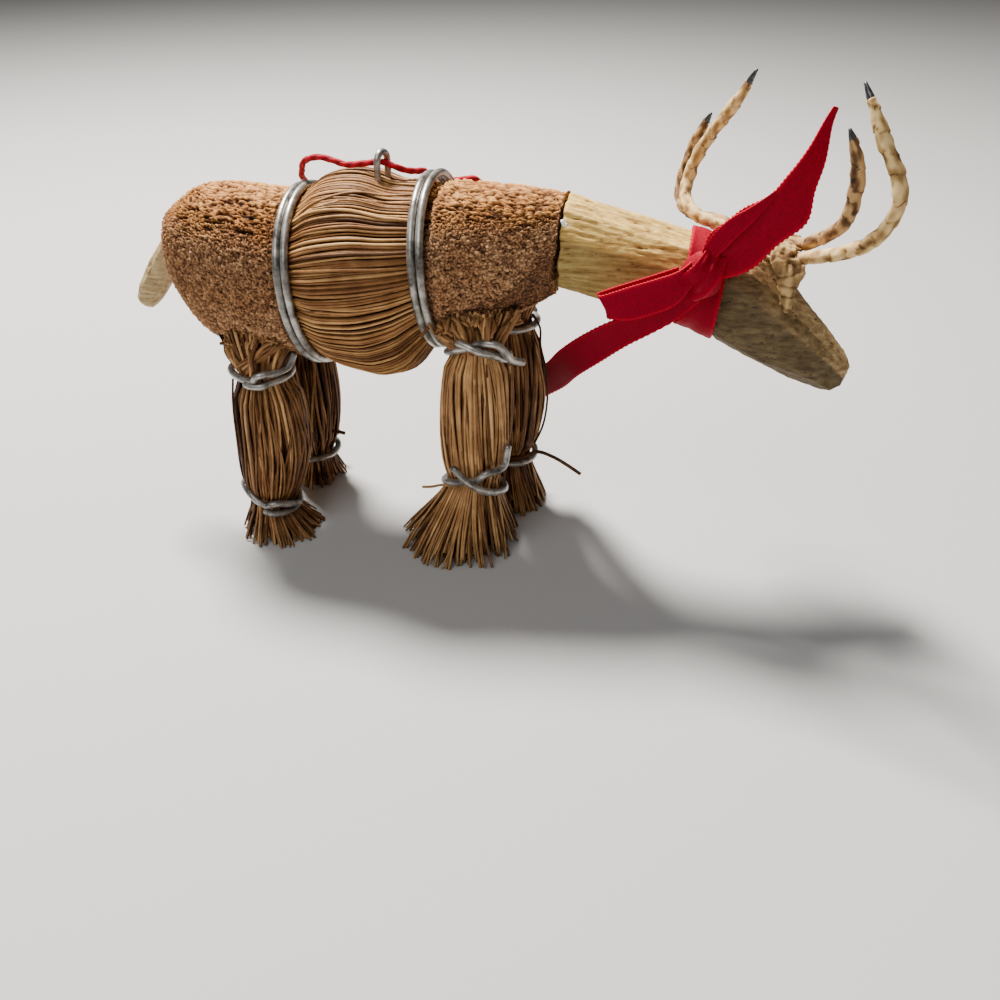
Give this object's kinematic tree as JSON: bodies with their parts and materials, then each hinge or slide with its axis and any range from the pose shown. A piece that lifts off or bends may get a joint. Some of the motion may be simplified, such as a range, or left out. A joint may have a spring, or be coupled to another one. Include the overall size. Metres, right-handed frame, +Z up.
{
  "type": "straw reindeer ornament",
  "caption": "Standing reindeer figure of wire-bound straw with wooden neck, head and tail, bark-wrapped wire antlers, a ribbon round its neck and a hanging cord through an eye on its back.",
  "frame": {"origin": "on the ground, under the middle of the ornament's outline without its loose cord", "axes": "+X towards the nose, +Y the animal's left side, +Z up"},
  "size_m": [0.1372, 0.043, 0.0925],
  "materials": {
    "straw": "warm brown straw, trimmed ends redder and granular",
    "galvanised_wire": "dull grey galvanised, worn lighter in patches",
    "dark_wire": "dark grey annealed iron wire",
    "pale_wood": "whittled pale wood, unfinished",
    "grey_wood": "whittled tan-grey wood, unfinished",
    "bark": "thin bark strip, cream with brown seams",
    "ribbon": "red satin with a picot edge",
    "cord": "red twisted cord"
  },
  "bodies": {
    "root": {"body_bundle": "straw", "body_binding_rear": "galvanised_wire", "body_binding_front": "galvanised_wire", "leg_right_rear": "straw", "leg_right_front": "straw", "leg_left_rear": "straw", "leg_left_front": "straw", "tie_right_rear_low": "galvanised_wire", "tie_right_rear_high": "galvanised_wire", "tie_right_front_low": "galvanised_wire", "tie_right_front_high": "galvanised_wire", "tie_left_rear_low": "galvanised_wire", "tie_left_rear_high": "galvanised_wire", "tie_left_front_low": "galvanised_wire", "tie_left_front_high": "galvanised_wire", "tail_peg": "pale_wood", "neck": "pale_wood", "head": "grey_wood", "antler_wire_long": "dark_wire", "antler_bark_long": "bark", "antler_wire_short": "dark_wire", "antler_bark_short": "bark", "head_strap": "bark", "ribbon": "ribbon", "hanging_eye": "galvanised_wire", "hanging_cord": "cord"}
  },
  "joints": []
}
